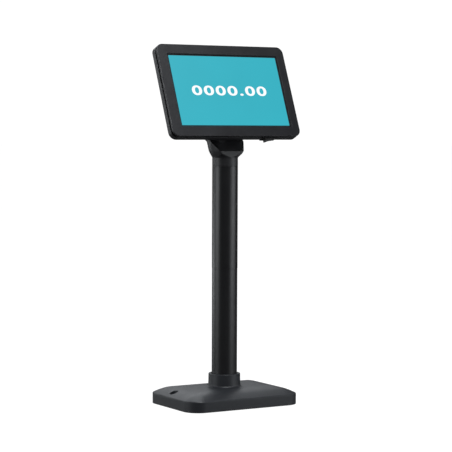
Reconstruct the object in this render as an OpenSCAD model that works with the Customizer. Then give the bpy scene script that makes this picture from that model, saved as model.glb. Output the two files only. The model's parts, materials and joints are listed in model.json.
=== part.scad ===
// Customer pole display: a tilting 7 inch screen on a swivel neck, a two-piece tube pole and a
// weighted base.
// Z is up, Y points to the back and the screen faces -Y. The origin is on the pole's axis, on the
// surface that the feet stand on. All lengths are in millimetres.

/* [Head] */
// Width of the screen housing
head_w = 181; // [177:1:186]
// Height of the screen housing along its face
head_h = 121; // [119:1:126]
// Depth of the screen housing, front face to rear face
head_d = 24; // [24:0.5:28]
// Corner radius of the housing seen from the front
head_corner = 9; // [7:0.5:12]
// How far the screen leans back from upright at rest
head_tilt = 22.6; // [10:0.1:30]
// Width of the lit picture area
screen_w = 152.4; // [148:0.1:154]
// Height of the lit picture area
screen_h = 91.4; // [86:0.1:92]
// How far the picture area sits to the right of the housing's centre
screen_shift = 1; // [0:0.1:1.5]

/* [Hinge] */
// Height of the tilt hinge's axis
hinge_z = 341.3; // [340.5:0.1:344]
// How far the tilt hinge's axis is behind the pole's axis
hinge_back = 10.1; // [9:0.1:11]
// Radius of the hinge bolt
hinge_pin_r = 3; // [2.5:0.1:3.2]
// Running clearance between a bolt or spigot and its bore, on the radius
running_gap = 0.06; // [0.02:0.01:0.09]

/* [Neck] */
// Width of the neck across its hinge cheeks
neck_w = 47.6; // [44:0.2:50]
// Height at which the neck meets the pole
neck_z = 295.2; // [290:0.1:298]
// Radius of the hollow spigot that the neck swivels on
spigot_r = 9.5; // [9:0.1:10]

/* [Pole] */
// Outer radius of the upper tube
upper_tube_r = 15.85; // [15.4:0.05:16]
// Outer radius of the lower tube
lower_tube_r = 15.7; // [15.3:0.05:15.8]
// Inner radius of both tubes
tube_bore_r = 13.6; // [13.5:0.05:13.8]
// Height of the joint between the two tubes
tube_joint_z = 168.6; // [150:0.1:190]

/* [Base] */
// Width of the base
base_w = 157; // [152:1:165]
// Depth of the base, front to back
base_d = 113; // [110:1:120]
// Corner radius of the base seen from above
base_corner = 20; // [18:1:24]
// Height at which the base's side wall turns into its crowned top
base_wall_z = 13.8; // [13:0.1:15]
// Height at which the crowned top meets the pole's collar
crown_z = 22.6; // [22:0.1:24]
// Outer radius of the collar round the pole
collar_r = 19.9; // [19.5:0.1:21]
// Height of the collar's top edge
collar_z = 38.5; // [36:0.5:44]
// Distance between the two holes for counter screws
counter_hole_spacing = 137; // [134:1:138]

/* [Hidden] */
$fn = 64;
eps = 0.01;

// ---- Head: depths are measured back from the bezel's front face ----
face_t = 1.25;                          // bezel thickness round the window
window_border = 1.6;                    // dark border between the picture and the bezel
window_w = screen_w + 2 * window_border;
window_h = screen_h + 2 * window_border;
edge_round = 0.9;                       // rounding of the bezel's front edge
rim_d = 2.2;                            // depth of the bezel's full-size rim
groove_inset = 2.4;                     // depth of the shadow groove round the housing
bezel_back = 4;                         // depth at which the bezel ends inside the groove
cover_front = 4.2;                      // depth at which the rear cover begins
cover_wall_start = 5.9;                 // depth at which the rear cover is full size
cover_wall_end = 11.9;                  // depth at which the rear cover starts to narrow
cover_taper = 13.2;                     // how far the rear face is inset from the sides
skirt_inset = 3.7;                      // bezel's locating skirt, outer side
skirt_t = 1.2;
skirt_end = 6.9;
case_wall = 3.4;                        // inset of the rear cover's inner side
rear_wall_y = head_d - 2;               // inner side of the rear face

glass_y = face_t + 0.25;
glass_t = 1.4;
backlight_t = 3.5;
tray_w = 164;
tray_h = 103;
tray_t = 0.5;
tray_back_y = glass_y + glass_t + backlight_t + 0.05;
chassis_y = 7.05;
chassis_t = 1;
chassis_back_y = chassis_y + chassis_t;
chassis_w = 172;
chassis_h = 112.4;
chassis_boss_x = 70;
chassis_boss_z = 54;
chassis_boss_r = 2.1;

board_w = 104;
board_h = 62;
board_t = 1.6;
board_z = 10;                           // height of the board's centre on the face
board_y = 11.6;
board_back_y = board_y + board_t;
board_hole_x = 48;
board_hole_z = 27;
ribbon_w = 30;
ribbon_t = 0.3;
ribbon_y = 14.1;
ribbon_socket_z = board_z - board_h / 2; // lower edge of the board

case_screw_x = 62;
case_screw_z = 36;
case_boss_y = 19;
case_head_r = 2.9;

bracket_t = 2.45;
bracket_y = rear_wall_y - 0.05 - bracket_t;
bracket_w = 64;
bracket_z0 = -45.3;
bracket_z1 = -17;
bracket_screw_x = 28;
bracket_screw_z = [-41, -21];

hinge_depth = 36;                       // hinge axis behind the bezel's front face
hinge_drop = 35;                        // hinge axis below the centre of the face
ear_in = 6;
ear_out = 12;
ear_r = 10;
ear_arm_h = 16;

// ---- Rocker switch in the head's lower edge ----
switch_x = 47;
switch_y0 = 5.2;
switch_y1 = 12.5;
switch_wall = 0.6;
switch_slot = 8.4;                      // half the length of the rocker's slot
switch_top_z = -52.2;
switch_lip = 0.4;                       // how far the switch stands below the housing
rocker_tilt = 12;
rocker_pivot_z = -head_h / 2 + 2.7;
rocker_pin_r = 0.95;
rocker_end_r = 9;

// ---- Neck ----
neck_floor_z = 308;
flare_z = 305.2;                        // the round skirt ends and the flare begins
mid_flare_z = 310;
face_z = 313.5;                         // lower edge of the sloping front face
face_front = 16.4;                      // that edge's distance in front of the pole's axis
face_half_w = 17.5;
shoulder_z = 324.4;                     // the neck reaches its full width here
shoulder_front = face_front - (shoulder_z - face_z);
slot_floor_z = 331;
cheek_front = -0.9;                     // front of the cheeks, before the pole's axis
cheek_r = 11;
cheek_in = 12.8;
cap_r = 8;
cap_seat = 18.8;                        // cheek thickness ends here, under the cap
flange_t = 2.95;
spigot_bore_r = 7;
spigot_end_z = 248;
spigot_screw_r = 11.7;
spigot_flange_r = 13.8;

// ---- Swivel bearing, inside the top of the upper tube ----
tube_top_z = neck_z - 0.3;
bush_z = 266;
stop_lug_h = 3;
stop_lug_half = 10;                     // half the angle that the fixed lug covers
stop_tab_half = 4;
stop_ring_z = 259.6;
nut_z = 251;

// ---- Pole ----
coupler_half = 30;
coupler_screw_z = 14.4;                 // grub screws above and below the tube joint
lower_tube_z = 14.5;

// ---- Base ----
foot_h = 1.5;
foot_r = 7;
foot_x = 57;
foot_y = 41;
bottom_t = 1.8;
bottom_top_z = foot_h + bottom_t;
cover_gap_z = 0.9;                      // the cover's lower edge above the counter
base_shell = 2.4;
collar_bore_r = 17.9;
ballast_w = 112;
ballast_d = 88;
ballast_t = 8;
ballast_z = bottom_top_z + 0.05;
ballast_top_z = ballast_z + ballast_t;
ballast_screw_x = 46;
ballast_screw_y = 32;
cable_slot_w = 14;
flange_z = ballast_top_z + 0.05;
flange_foot_t = 3;
flange_r = 28;
flange_socket_r = 17.4;
flange_socket_z = 30;
flange_screw = 15.5;                    // flange screws, out from the axis along X and Y
counter_hole_y = 5;
counter_hole_r = 2.6;
counter_well_r = 5.25;
counter_well_z = 5.6;
base_screw_x = 68;
base_screw_y = 27;
outlet_w = 13;
outlet_z0 = 3.8;
outlet_z1 = 10.8;

// Edge of the base cover from its lower rim to its crown: inset from the outline, height
crown_outside = [
    [0, cover_gap_z], [0, base_wall_z - 2], [0.25, base_wall_z - 1], [0.8, base_wall_z - 0.35],
    [2, base_wall_z], [6, 16.9], [13, 19.6], [base_corner, 21.2], [27, 22.1], [36, crown_z]
];
crown_inside = [
    [0, cover_gap_z - 1], [0, base_wall_z - 3.8], [1.6, base_wall_z - 2.4], [10, 16.2],
    [base_corner - base_shell, 18.5], [34, crown_z - 2.7]
];

// Edge of the front bezel: inset from the housing's outline, depth
bezel_edge = [
    [edge_round, 0], [edge_round * 0.3, edge_round * 0.3], [0, edge_round], [0, rim_d],
    [groove_inset, bezel_back]
];
// Edge of the rear cover, outside and inside
taper_slope = (head_d - cover_wall_end - 1.3) / (cover_taper - 1.4);
cover_edge = [
    [groove_inset, cover_front], [0, cover_wall_start], [0, cover_wall_end],
    [0.5, cover_wall_end + 0.8],
    [head_corner, cover_wall_end + 0.8 + (head_corner - 0.5) * taper_slope],
    [cover_taper - 0.9, head_d - 0.5], [cover_taper, head_d]
];
inside_wall_end = cover_wall_end - 0.9;
inside_taper = cover_taper + 1.6 - case_wall;
inside_slope = (rear_wall_y - inside_wall_end) / inside_taper;
cover_inside_edge = [
    [0, cover_front - 1], [0, inside_wall_end],
    [head_corner - case_wall, inside_wall_end + (head_corner - case_wall) * inside_slope],
    [inside_taper, rear_wall_y]
];

// ================= helpers =================

module rounded_rect(w, h, r) {
    square([w - 2 * r, h], center = true);
    square([w, h - 2 * r], center = true);
    for (sx = [-1, 1], sy = [-1, 1])
        translate([sx * (w / 2 - r), sy * (h / 2 - r)])
            circle(r);
}

// Places things drawn on the leaning head: X across the face, Y back from it, Z up along it
module on_head() {
    translate([0, hinge_back, hinge_z])
        rotate([-head_tilt, 0, 0])
            translate([0, -hinge_depth, hinge_drop])
                children();
}

// A plate facing the viewer, its outline w by h, from depth y over thickness t
module face_plate(w, h, r, y, t) {
    translate([0, y + t, 0])
        rotate([90, 0, 0])
            linear_extrude(t)
                rounded_rect(w, h, r);
}

// Section across a block: its edge on the right and the same edge mirrored on the left
module block_section(half_w, edge) {
    last = len(edge) - 1;
    polygon(concat(
        [for (e = edge) [half_w - e[0], e[1]]],
        [for (i = [last:-1:0]) [edge[i][0] - half_w, edge[i][1]]]));
}

// One quarter of a turned corner with the same edge
module block_corner(r, edge) {
    shown = [for (e = edge) if (e[0] <= r) e];
    rotate_extrude(angle = 90)
        polygon(concat(
            [[0, shown[0][1]]],
            [for (e = shown) if (e[0] < r) [r - e[0], e[1]]],
            [[0, shown[len(shown) - 1][1]]]));
}

// A block with rounded corners whose edge has the same shape all the way round
module edged_block(w, d, r, edge) {
    difference() {
        intersection() {
            translate([0, d / 2, 0])
                rotate([90, 0, 0])
                    linear_extrude(d)
                        block_section(w / 2, edge);
            translate([-w / 2, 0, 0])
                rotate([90, 0, 90])
                    linear_extrude(w)
                        block_section(d / 2, edge);
        }
        for (sx = [-1, 1], sy = [-1, 1])
            translate([sx * (w / 2 - r / 2 + 1), sy * (d / 2 - r / 2 + 1), 0])
                cube([r + 2, r + 2, 100], center = true);
    }
    for (i = [0:3])
        translate([(i == 0 || i == 3 ? 1 : -1) * (w / 2 - r), (i < 2 ? 1 : -1) * (d / 2 - r), 0])
            rotate(90 * i)
                block_corner(r, edge);
}

// A rod along the head's depth, from depth y0 to y1
module head_rod(x, z, r, y0, y1, sides = $fn) {
    translate([x, y1, z])
        rotate([90, 0, 0])
            cylinder(r = r, h = y1 - y0, $fn = sides);
}

module ring(r_out, r_in, z0, z1) {
    translate([0, 0, z0])
        difference() {
            cylinder(r = r_out, h = z1 - z0);
            translate([0, 0, -1])
                cylinder(r = r_in, h = z1 - z0 + 2);
        }
}

// A rod along X, from x0 to x1, on the tilt hinge's axis
module hinge_rod(r, x0, x1, sides = $fn) {
    translate([x0, hinge_back, hinge_z])
        rotate([0, 90, 0])
            cylinder(r = r, h = x1 - x0, $fn = sides);
}

// Part of a ring between two radii, centred on an angle and half_angle wide each way
module ring_sector(r_out, r_in, angle, half_angle, z0, z1) {
    reach = r_out * 1.5;
    translate([0, 0, z0])
        linear_extrude(z1 - z0)
            intersection() {
                difference() {
                    circle(r_out);
                    circle(r_in);
                }
                rotate(angle)
                    polygon([[0, 0],
                        [reach * cos(half_angle), -reach * sin(half_angle)],
                        [reach * cos(half_angle), reach * sin(half_angle)]]);
            }
}

// ================= head =================

module window_cut() {
    slope = 0.8;
    hull() {
        translate([screen_shift, 0, 0]) {
            face_plate(window_w + 2 * slope, window_h + 2 * slope, 1, -eps, eps);
            face_plate(window_w, window_h, 0.6, slope, eps);
        }
    }
    translate([screen_shift, 0, 0])
        face_plate(window_w, window_h, 0.6, slope, 2);
}

module switch_notch() {
    translate([switch_x - 10.4, bezel_back - 0.1, -head_h / 2])
        cube([20.8, 8, 9]);
}

module front_bezel() {
    color([0.17, 0.17, 0.18]) on_head()
        difference() {
            union() {
                rotate([-90, 0, 0])
                    edged_block(head_w, head_h, head_corner, bezel_edge);
                difference() {
                    face_plate(head_w - 2 * skirt_inset, head_h - 2 * skirt_inset,
                        head_corner - skirt_inset, bezel_back - 0.5, skirt_end - bezel_back + 0.5);
                    switch_notch();
                }
            }
            window_cut();
            difference() {
                inner = skirt_inset + skirt_t;
                face_plate(head_w - 2 * inner, head_h - 2 * inner, 4, 2.2, 6);
                for (sx = [-1, 1], sz = [-1, 1])
                    head_rod(sx * chassis_boss_x, sz * chassis_boss_z, chassis_boss_r, 2, 8);
            }
            translate([screen_shift, 0, 0])
                face_plate(tray_w + 0.4, tray_h + 0.4, 0.8, face_t, 6);
            for (sx = [-1, 1], sz = [-1, 1])
                head_rod(sx * chassis_boss_x, sz * chassis_boss_z, 0.95, 2.6, 9);
        }
}

module lcd_gasket() {
    color([0.05, 0.05, 0.05]) on_head()
        translate([screen_shift, 0, 0])
            difference() {
                face_plate(tray_w - 2, tray_h - 2, 1, face_t, 0.24);
                face_plate(window_w + 0.6, window_h + 0.6, 0.8, face_t - 1, 3);
            }
}

module lcd_polarizer() {
    color([0.24, 0.72, 0.78]) on_head()
        translate([screen_shift, 0, 0])
            face_plate(screen_w, screen_h, 0.3, face_t, 0.25);
}

module lcd_glass() {
    color([0.03, 0.03, 0.04]) on_head()
        translate([screen_shift, 0, 0])
            face_plate(tray_w - 1.1, tray_h - 1.1, 0.5, glass_y, glass_t);
}

module lcd_backlight() {
    color([0.9, 0.9, 0.88]) on_head()
        translate([screen_shift, 0, 0])
            face_plate(tray_w - 1.2, tray_h - 1.2, 0.5, glass_y + glass_t, backlight_t);
}

module lcd_tray() {
    color([0.7, 0.71, 0.73]) on_head()
        translate([screen_shift, 0, 0])
            difference() {
                face_plate(tray_w, tray_h, 0.7, glass_y + 0.1, tray_back_y + tray_t - glass_y - 0.1);
                face_plate(tray_w - 1, tray_h - 1, 0.5, 0, tray_back_y);
            }
}

// The flat flex runs from the glass's lower edge round the chassis and up to its socket
module lcd_ribbon() {
    low = -tray_h / 2 - 0.1;
    front = glass_y + 1.5;
    color([0.75, 0.5, 0.15]) on_head()
        translate([-ribbon_w / 2, 0, 0])
            rotate([90, 0, 90])
                linear_extrude(ribbon_w)
                    polygon([
                        [front, low], [front, low - ribbon_t],
                        [ribbon_y + ribbon_t, low - ribbon_t], [ribbon_y + ribbon_t, ribbon_socket_z],
                        [ribbon_y, ribbon_socket_z], [ribbon_y, low]
                    ]);
}

module chassis_plate() {
    color([0.72, 0.73, 0.74]) on_head()
        difference() {
            face_plate(chassis_w, chassis_h, 4, chassis_y, chassis_t);
            for (sx = [-1, 1], sz = [-1, 1])
                head_rod(sx * chassis_boss_x, sz * chassis_boss_z, 1.1, 6, 10);
            translate([-ribbon_w / 2 - 3, chassis_y - 1, -chassis_h / 2 - 1])
                cube([ribbon_w + 6, 3, 6.2]);
            translate([switch_x - 10.4, chassis_y - 1, -chassis_h / 2 - 1])
                cube([20.8, 3, 8]);
            for (sx = [-1, 1])
                translate([sx * 74 - 5, chassis_y - 1, -20])
                    cube([10, 3, 40]);
        }
}

module chassis_screws() {
    color([0.6, 0.6, 0.62]) on_head()
        for (sx = [-1, 1], sz = [-1, 1]) {
            head_rod(sx * chassis_boss_x, sz * chassis_boss_z, 1.9, chassis_back_y, chassis_back_y + 1.2);
            head_rod(sx * chassis_boss_x, sz * chassis_boss_z, 0.9, 3.2, chassis_back_y + 0.5);
        }
}

module hollow_post(x, z, r_out, r_in, y0, y1) {
    difference() {
        head_rod(x, z, r_out, y0, y1);
        head_rod(x, z, r_in, y0 + 0.4, y1 + 1);
    }
}

module case_standoffs() {
    color([0.75, 0.62, 0.3]) on_head()
        for (sx = [-1, 1], sz = [-1, 1])
            hollow_post(sx * case_screw_x, sz * case_screw_z, 3, 1.5, chassis_back_y, case_boss_y - 0.05);
}

module board_standoffs() {
    color([0.75, 0.62, 0.3]) on_head()
        for (sx = [-1, 1], sz = [-1, 1])
            hollow_post(sx * board_hole_x, board_z + sz * board_hole_z, 2.5, 1.25,
                chassis_back_y, board_y - 0.02);
}

module controller_board() {
    color([0.05, 0.3, 0.16]) on_head()
        difference() {
            translate([0, 0, board_z])
                face_plate(board_w, board_h, 2, board_y, board_t);
            for (sx = [-1, 1], sz = [-1, 1])
                head_rod(sx * board_hole_x, board_z + sz * board_hole_z, 1.4, 10, 15);
        }
}

module chip(x, z, w, h, t) {
    translate([x - w / 2, board_back_y, z - h / 2])
        cube([w, t, h]);
}

module board_chips() {
    color([0.08, 0.08, 0.09]) on_head() {
        chip(-6, 14, 15, 15, 1.4);
        chip(16, 20, 12, 9, 1.1);
        chip(16, 8, 12, 9, 1.1);
        chip(-28, 24, 8, 6, 1.2);
        chip(36, -6, 7, 6, 1.3);
        for (i = [0:3])
            head_rod(-34 + 9 * i, -4, 2.6, board_back_y, board_back_y + 4.5);
    }
}

// From left to right: power inlet, ribbon socket and signal socket
module board_connectors() {
    color([0.85, 0.84, 0.78]) on_head() {
        difference() {
            chip(-38, -14, 12, 10, 6);
            translate([-42.5, board_back_y + 1, -20])
                cube([9, 4, 8]);
        }
        chip(0, ribbon_socket_z + 2.5, ribbon_w + 4, 5, 2);
        difference() {
            chip(38, 32, 13, 12, 5);
            translate([33, board_back_y + 0.8, 30])
                cube([10, 3.4, 9]);
        }
    }
}

module board_screws() {
    color([0.6, 0.6, 0.62]) on_head()
        for (sx = [-1, 1], sz = [-1, 1]) {
            head_rod(sx * board_hole_x, board_z + sz * board_hole_z, 2.2, board_back_y, board_back_y + 1.4);
            head_rod(sx * board_hole_x, board_z + sz * board_hole_z, 1.15, 9, board_back_y + 0.5);
        }
}

module vent_slots() {
    slot_w = 2;
    slot_h = 18;
    pitch = 6;
    for (i = [-7:7])
        translate([i * pitch - slot_w / 2, rear_wall_y - 1, 10])
            cube([slot_w, 4, slot_h]);
}

module rear_cover() {
    color([0.13, 0.13, 0.14]) on_head()
        difference() {
            union() {
                rotate([-90, 0, 0])
                    difference() {
                        edged_block(head_w, head_h, head_corner, cover_edge);
                        edged_block(head_w - 2 * case_wall, head_h - 2 * case_wall,
                            head_corner - case_wall, cover_inside_edge);
                    }
                for (sx = [-1, 1], sz = [-1, 1])
                    head_rod(sx * case_screw_x, sz * case_screw_z, 5, case_boss_y, rear_wall_y + 0.5);
                translate([switch_x - 10, cover_front + 0.1, -head_h / 2 - switch_lip])
                    cube([20, 9.4, 5]);
            }
            for (sx = [-1, 1], sz = [-1, 1]) {
                head_rod(sx * case_screw_x, sz * case_screw_z, case_head_r + 0.3, case_boss_y + 2.2, 30);
                head_rod(sx * case_screw_x, sz * case_screw_z, 1.7, 10, 30);
            }
            for (sx = [-1, 1], z = bracket_screw_z)
                head_rod(sx * bracket_screw_x, z, 2.1, 20, 30);
            translate([-ear_out - 0.6, rear_wall_y - 1, -hinge_drop - ear_arm_h / 2 - 0.8])
                cube([2 * ear_out + 1.2, 4, ear_arm_h + 1.6]);
            translate([switch_x - 9.1, switch_y0 - 0.1, -head_h / 2 - 2])
                cube([18.2, switch_y1 - switch_y0 + 0.2, 12]);
            vent_slots();
        }
}

module case_screws() {
    color([0.1, 0.1, 0.1]) on_head()
        for (sx = [-1, 1], sz = [-1, 1])
            difference() {
                union() {
                    head_rod(sx * case_screw_x, sz * case_screw_z, case_head_r,
                        case_boss_y + 2.2, case_boss_y + 4.2);
                    head_rod(sx * case_screw_x, sz * case_screw_z, 1.4, 11, case_boss_y + 3);
                }
                cross_recess(sx * case_screw_x, sz * case_screw_z, case_boss_y + 3, 3.4);
            }
}

module cross_recess(x, z, y, size) {
    blade = size * 0.22;
    for (a = [0, 90])
        translate([x, y, z])
            rotate([0, a, 0])
                translate([-size / 2, 0, -blade / 2])
                    cube([size, 4, blade]);
}

// Side outline of one hinge ear: depth along the first axis, height along the second
module ear_outline() {
    translate([hinge_depth, -hinge_drop])
        circle(ear_r);
    translate([bracket_y + 1, -hinge_drop - ear_arm_h / 2])
        square([hinge_depth - bracket_y - 1, ear_arm_h]);
}

module hinge_bracket() {
    color([0.35, 0.36, 0.38]) on_head()
        difference() {
            union() {
                translate([0, 0, (bracket_z0 + bracket_z1) / 2])
                    face_plate(bracket_w, bracket_z1 - bracket_z0, 3, bracket_y, bracket_t);
                for (x = [-ear_out, ear_in])
                    translate([x, 0, 0])
                        rotate([90, 0, 90])
                            linear_extrude(ear_out - ear_in)
                                ear_outline();
            }
            translate([-20, hinge_depth, -hinge_drop])
                rotate([0, 90, 0])
                    cylinder(r = hinge_pin_r + running_gap, h = 40);
            for (sx = [-1, 1], z = bracket_screw_z)
                head_rod(sx * bracket_screw_x, z, 2, 15, 30);
            translate([-5, bracket_y - 1, -hinge_drop - 6])
                cube([10, 5, 12]);
        }
}

module bracket_screws() {
    color([0.1, 0.1, 0.1]) on_head()
        for (sx = [-1, 1], z = bracket_screw_z)
            difference() {
                union() {
                    head_rod(sx * bracket_screw_x, z, 3.2, head_d, head_d + 2);
                    head_rod(sx * bracket_screw_x, z, 1.95, bracket_y - 1, head_d + 1);
                }
                cross_recess(sx * bracket_screw_x, z, head_d + 0.8, 3.8);
            }
}

module switch_housing() {
    low = -head_h / 2 - switch_lip;
    color([0.08, 0.08, 0.08]) on_head()
        difference() {
            translate([switch_x - 9, switch_y0, low])
                cube([18, switch_y1 - switch_y0, switch_top_z - low]);
            translate([switch_x - switch_slot, switch_y0 + switch_wall, low - 1])
                cube([2 * switch_slot, switch_y1 - switch_y0 - 2 * switch_wall, switch_top_z - low]);
            head_rod(switch_x, rocker_pivot_z, rocker_pin_r + running_gap, switch_y0 - 1, switch_y1 + 1);
        }
}

// Side outline of the rocker about its pivot, with its pressed face pointing down
module rocker_outline() {
    intersection() {
        circle(rocker_end_r);
        polygon([
            [-8.2, -5.4], [0, -4.8], [8.2, -5.4],
            [7.4, -4.8], [6.2, 1.5], [-6.2, 1.5], [-7.4, -4.8]
        ]);
    }
}

module power_rocker() {
    gap = 0.15;
    y0 = switch_y0 + switch_wall + gap;
    y1 = switch_y1 - switch_wall - gap;
    color([0.1, 0.1, 0.11]) on_head() {
        translate([switch_x, y1, rocker_pivot_z])
            rotate([90, 0, 0])
                linear_extrude(y1 - y0)
                    rotate(rocker_tilt)
                        rocker_outline();
        head_rod(switch_x, rocker_pivot_z, rocker_pin_r, switch_y0 + 0.1, switch_y1 - 0.1);
    }
}

// ================= neck =================

// The neck's plan at height z: a round body with two corners that carry the front face
module neck_slice(z, r, corner_x, corner_front) {
    corner_r = 1;
    translate([0, 0, z]) {
        cylinder(r = r, h = eps);
        for (sx = [-1, 1])
            translate([sx * (corner_x - corner_r), -(corner_front - corner_r), 0])
                cylinder(r = corner_r, h = eps, $fn = 24);
    }
}

module cheek_block(half_w, z0) {
    back = hinge_back + cheek_r;
    translate([-half_w, cheek_front, z0])
        cube([2 * half_w, back - cheek_front, hinge_z - z0]);
    hinge_rod(cheek_r, -half_w, half_w);
}

// Side outline that trims the neck: Y along the first axis, Z along the second
module neck_profile(inset) {
    back = 26;
    front = face_front - inset * 1.4;
    sum = face_front + face_z - inset * sqrt(2);
    polygon([
        [back, neck_z - 1], [-upper_tube_r - 0.1, neck_z - 1], [-upper_tube_r - 0.1, flare_z],
        [-front, sum - front], [cheek_front, sum + cheek_front],
        [cheek_front, hinge_z + 20], [back, hinge_z + 20]
    ]);
}

module neck_trim(inset) {
    translate([-40, 0, 0])
        rotate([90, 0, 90])
            linear_extrude(80)
                neck_profile(inset);
}

module neck_body() {
    half_w = neck_w / 2;
    intersection() {
        union() {
            translate([0, 0, neck_z])
                cylinder(r = upper_tube_r, h = flare_z - neck_z + eps);
            hull() {
                translate([0, 0, flare_z])
                    cylinder(r = upper_tube_r, h = eps);
                neck_slice(mid_flare_z, 18.6, 15.3, 15.9);
            }
            hull() {
                neck_slice(mid_flare_z, 18.6, 15.3, 15.9);
                neck_slice(face_z, 20.2, face_half_w, face_front);
            }
            hull() {
                neck_slice(face_z, 20.2, face_half_w, face_front);
                neck_slice(shoulder_z, 22.6, half_w, shoulder_front);
            }
            hull() {
                neck_slice(shoulder_z, 22.6, half_w, shoulder_front);
                translate([-half_w, cheek_front, slot_floor_z + 2])
                    cube([2 * half_w, hinge_back + cheek_r - cheek_front, eps]);
            }
            cheek_block(half_w, slot_floor_z + 2);
        }
        neck_trim(0);
    }
}

module neck_cavity() {
    intersection() {
        hull() {
            translate([0, 0, neck_floor_z])
                cylinder(r = spigot_flange_r + 0.4, h = eps);
            translate([0, 0, face_z])
                cylinder(r = 17.4, h = eps);
            translate([0, 0, slot_floor_z - 3])
                cylinder(r = 19.6, h = eps);
        }
        neck_trim(2.4);
    }
}

// Places things drawn on the sloping front face: X across, Y up the slope, Z out of it
module on_slope() {
    translate([0, -face_front, face_z])
        rotate([45, 0, 0])
            children();
}

module cover_outline(margin) {
    rise = (shoulder_z - face_z) * sqrt(2);
    low = 2.2 - margin;
    high = 20 + margin;
    low_half = face_half_w - 1.6 + margin;
    high_half = neck_w / 2 - 2.2 + margin;
    polygon([
        [-low_half, low], [low_half, low], [high_half, rise], [high_half, high],
        [-high_half, high], [-high_half, rise]
    ]);
}

module neck_shell() {
    color([0.14, 0.14, 0.15])
        difference() {
            neck_body();
            neck_cavity();
            translate([0, 0, neck_z - 1])
                cylinder(r = spigot_r + 0.1, h = 20);
            for (a = [90, 210, 330])
                rotate(a)
                    translate([spigot_screw_r, 0, neck_z + 3])
                        cylinder(r = 1.25, h = 12);
            on_slope() {
                translate([0, 0, -2.1])
                    linear_extrude(4)
                        cover_outline(0.15);
                translate([0, 0, -6])
                    linear_extrude(6)
                        cover_outline(-1.8);
            }
            translate([-cheek_in, -30, slot_floor_z])
                cube([2 * cheek_in, 60, 40]);
            translate([-6, 5, slot_floor_z - 5])
                cube([12, 9, 8]);
            hinge_rod(hinge_pin_r + running_gap, -30, 30);
            hinge_rod(cap_r, -30, -cap_seat);
            hinge_rod(cap_r, cap_seat, 30);
        }
}

module neck_front_cover() {
    color([0.1, 0.1, 0.11])
        on_slope()
            translate([0, 0, -2])
                linear_extrude(1.6)
                    cover_outline(0);
}

module hinge_bolt() {
    color([0.55, 0.55, 0.57]) {
        hinge_rod(5.6, -cap_seat - 3.4, -cap_seat, 6);
        hinge_rod(hinge_pin_r, -cap_seat - 1, cap_seat + 3.4);
    }
}

module hinge_washers() {
    color([0.75, 0.75, 0.72])
        for (x0 = [-cheek_in + 0.05, cheek_in - 0.6])
            difference() {
                hinge_rod(8.5, x0, x0 + 0.55);
                hinge_rod(hinge_pin_r + running_gap, x0 - 1, x0 + 2);
            }
}

module hinge_nut() {
    color([0.6, 0.6, 0.62])
        difference() {
            hinge_rod(5.6, cap_seat, cap_seat + 3.2, 6);
            hinge_rod(hinge_pin_r + running_gap, cap_seat - 1, cap_seat + 5);
        }
}

module hinge_caps() {
    out = neck_w / 2 - 0.2;
    color([0.11, 0.11, 0.12])
        for (x0 = [-out, out - 1.2])
            hinge_rod(cap_r - 0.1, x0, x0 + 1.2);
}

module swivel_spigot() {
    top = neck_floor_z + 0.05 + flange_t;
    color([0.6, 0.61, 0.63])
        difference() {
            union() {
                translate([0, 0, spigot_end_z])
                    cylinder(r = spigot_r, h = top - spigot_end_z);
                translate([0, 0, neck_floor_z + 0.05])
                    cylinder(r = spigot_flange_r, h = flange_t);
            }
            translate([0, 0, spigot_end_z - 1])
                cylinder(r = spigot_bore_r, h = 80);
            for (a = [90, 210, 330])
                rotate(a)
                    translate([spigot_screw_r, 0, neck_floor_z - 1])
                        cylinder(r = 1.3, h = 10);
        }
}

module spigot_screws() {
    top = neck_floor_z + 0.05 + flange_t;
    color([0.5, 0.5, 0.52])
        for (a = [90, 210, 330])
            rotate(a)
                translate([spigot_screw_r, 0, 0]) {
                    translate([0, 0, top])
                        cylinder(r = 2.2, h = 1.4);
                    translate([0, 0, neck_z + 4])
                        cylinder(r = 1.15, h = top - neck_z - 3.5);
                }
}

module swivel_stop_ring() {
    top = stop_ring_z + 3;
    color([0.5, 0.5, 0.52]) {
        ring(12.9, spigot_r + 0.02, stop_ring_z, top);
        ring_sector(12.9, 10.4, 270, stop_tab_half, top - 0.5, bush_z - 0.4);
    }
}

module swivel_spring() {
    z0 = nut_z + 7.55;
    color([0.65, 0.65, 0.67])
        rotate_extrude()
            polygon([
                [spigot_r + 0.1, z0 + 0.4], [12.6, z0], [12.6, z0 + 0.5], [spigot_r + 0.1, z0 + 0.95]
            ]);
}

module swivel_nut() {
    color([0.6, 0.6, 0.62])
        difference() {
            translate([0, 0, nut_z])
                cylinder(r = 13, h = 7.5, $fn = 6);
            translate([0, 0, nut_z - 1])
                cylinder(r = spigot_r + 0.02, h = 10);
        }
}

// ================= pole =================

module swivel_washer() {
    color([0.1, 0.1, 0.1])
        ring(upper_tube_r - 0.35, spigot_r + 0.3, tube_top_z + 0.04, neck_z - 0.04);
}

module swivel_bush() {
    color([0.85, 0.84, 0.8]) {
        ring(tube_bore_r - 0.03, spigot_r + running_gap, bush_z, tube_top_z);
        ring_sector(13.2, 10.4, 90, stop_lug_half, bush_z - stop_lug_h, bush_z + 0.5);
    }
}

// A hole through the back of the pole for a grub screw
module back_hole(z, r) {
    translate([0, 0, z])
        rotate([-90, 0, 0])
            cylinder(r = r, h = 30);
}

// A tube whose two ends have a small chamfer outside
module pole_tube(r, z0, z1) {
    c = 0.4;
    rotate_extrude()
        polygon([
            [tube_bore_r, z0], [r - c, z0], [r, z0 + c], [r, z1 - c], [r - c, z1], [tube_bore_r, z1]
        ]);
}

module upper_tube() {
    color([0.16, 0.16, 0.17])
        difference() {
            pole_tube(upper_tube_r, tube_joint_z + 0.05, tube_top_z);
            back_hole(tube_joint_z + coupler_screw_z, 2.1);
        }
}

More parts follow.
